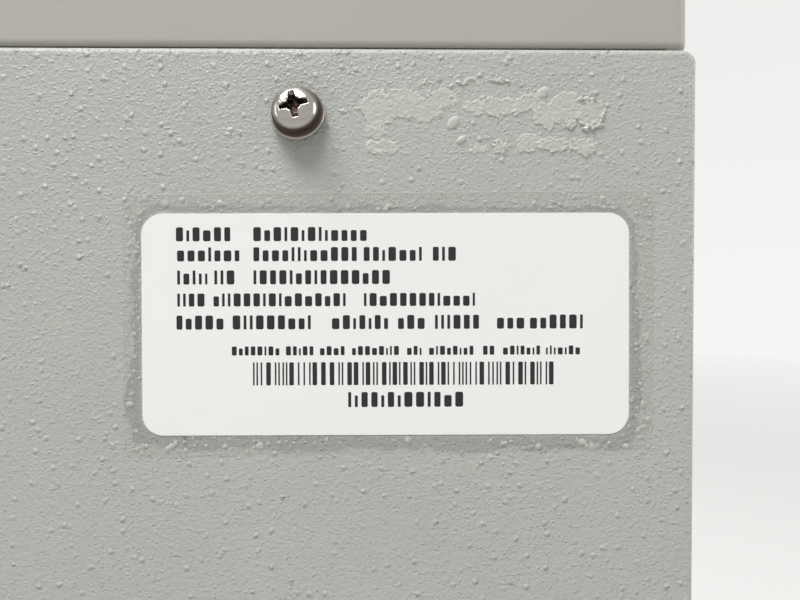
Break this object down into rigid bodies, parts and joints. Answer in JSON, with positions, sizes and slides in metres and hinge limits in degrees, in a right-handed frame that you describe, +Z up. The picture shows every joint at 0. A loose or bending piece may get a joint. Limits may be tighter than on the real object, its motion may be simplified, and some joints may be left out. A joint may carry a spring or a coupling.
{
  "type": "preparative liquid chromatography system",
  "caption": "Benchtop preparative chromatography instrument with a fraction collector drawer and moving arm, a column alcove, a sloped display and a solvent tray on top.",
  "frame": {"origin": "on the bench, under the middle of the case", "axes": "+X to the right of someone facing the front, +Y towards the rear panel, +Z up"},
  "size_m": [0.3622, 0.437, 0.663],
  "materials": {
    "coated_sheet": "textured powder coat, light warm grey",
    "plated_sheet": "zinc-plated sheet steel",
    "front_plastic": "light moulded ABS, fine texture",
    "tray_plastic": "smooth moulded ABS",
    "rubber": "moulded black rubber",
    "screw_steel": "bright nickel-plated steel",
    "clear_panel": "clear polycarbonate",
    "cover_glass": "black-backed cover glass",
    "black_plastic": "moulded black nylon",
    "rack_plastic": "moulded polypropylene",
    "fluid_steel": "ground stainless steel",
    "cast_aluminium": "cast and anodised aluminium",
    "motor_case": "black enamelled motor case",
    "board_green": "solder-masked circuit board",
    "brass": "turned brass",
    "fitting_plastic": "machined natural PEEK"
  },
  "bodies": {
    "root": {"feet": "rubber", "base_pan": "coated_sheet", "rear_panel": "coated_sheet", "left_cover": "coated_sheet", "right_cover": "coated_sheet", "rear_posts": "plated_sheet", "top_deck": "plated_sheet", "middle_deck": "plated_sheet", "alcove_liner": "coated_sheet", "front_moulding": "front_plastic", "touch_glass": "cover_glass", "display_module": "black_plastic", "top_tray": "tray_plastic", "case_screws": "screw_steel", "fan_guard": "fluid_steel", "fan_frame": "black_plastic", "power_inlet": "black_plastic", "board_standoffs": "brass", "control_board": "board_green", "network_port": "black_plastic", "bulkhead_fittings": "fitting_plastic", "bay_liner": "plated_sheet", "runner_outer": "plated_sheet", "guide_rods": "fluid_steel", "long_motor": "motor_case", "pump_drive_a": "cast_aluminium", "pump_drive_b": "cast_aluminium", "pump_head_a": "fluid_steel", "pump_head_b": "fluid_steel", "mixer": "fluid_steel", "detector_housing": "cast_aluminium", "flow_cell": "fluid_steel", "power_supply": "plated_sheet", "valve_base": "fluid_steel", "column": "fluid_steel", "column_rail": "cast_aluminium", "lower_clamp": "cast_aluminium", "drip_tray": "tray_plastic"},
    "drawer": {"drawer_pan": "plated_sheet", "drawer_front": "front_plastic", "drawer_window": "clear_panel", "runner_inner": "plated_sheet", "rack_left": "rack_plastic", "rack_middle": "rack_plastic", "rack_right": "rack_plastic"},
    "arm": {"arm_carriage": "black_plastic", "arm_beam": "cast_aluminium", "cross_rod": "fluid_steel", "cross_motor": "motor_case"},
    "head": {"drip_head": "black_plastic", "nozzle": "fluid_steel"},
    "long_screw": {"long_screw": "fluid_steel"},
    "cross_screw": {"cross_screw": "fluid_steel"},
    "fan_rotor": {"fan_rotor": "black_plastic"},
    "power_rocker": {"power_rocker": "black_plastic"},
    "valve_knob": {"valve_knob": "black_plastic"},
    "upper_clamp": {"upper_clamp": "cast_aluminium"},
    "clamp_knob": {"clamp_knob": "black_plastic"}
  },
  "joints": [
    {"name": "drawer_slide", "type": "slide", "parent": "root", "child": "drawer", "axis": [0, -1, 0], "range_m": [0, 0.19]},
    {"name": "arm_slide", "type": "slide", "parent": "root", "child": "arm", "axis": [1, 0, 0], "range_m": [0, 0.1472]},
    {"name": "head_slide", "type": "slide", "parent": "arm", "child": "head", "axis": [0, -1, 0], "range_m": [0, 0.1472]},
    {"name": "long_screw_turn", "type": "hinge", "parent": "root", "child": "long_screw", "pos_m": [-0.047, 0.045, 0.257], "axis": [1, 0, 0], "continuous": true},
    {"name": "cross_screw_turn", "type": "hinge", "parent": "arm", "child": "cross_screw", "pos_m": [-0.1126, -0.05, 0.268], "axis": [0, -1, 0], "continuous": true},
    {"name": "fan_spin", "type": "hinge", "parent": "root", "child": "fan_rotor", "pos_m": [0.06, 0.2, 0.47], "axis": [0, 1, 0], "continuous": true},
    {"name": "power_rocker_tilt", "type": "hinge", "parent": "root", "child": "power_rocker", "pos_m": [0.13, 0.216, 0.091], "axis": [1, 0, 0], "range_deg": [0, 16]},
    {"name": "valve_turn", "type": "hinge", "parent": "root", "child": "valve_knob", "pos_m": [0.131, -0.125, 0.118], "axis": [0, -1, 0], "range_deg": [0, 60]},
    {"name": "clamp_slide", "type": "slide", "parent": "root", "child": "upper_clamp", "axis": [0, 0, 1], "range_m": [-0.1, 0.005]},
    {"name": "clamp_knob_turn", "type": "hinge", "parent": "upper_clamp", "child": "clamp_knob", "pos_m": [0.15, -0.142, 0.455], "axis": [1, 0, 0], "range_deg": [0, 180]}
  ],
  "couplings": [
    {"joint": "long_screw_turn", "follows": "arm_slide", "rad_per_m": 785.4},
    {"joint": "cross_screw_turn", "follows": "head_slide", "rad_per_m": 785.4}
  ]
}
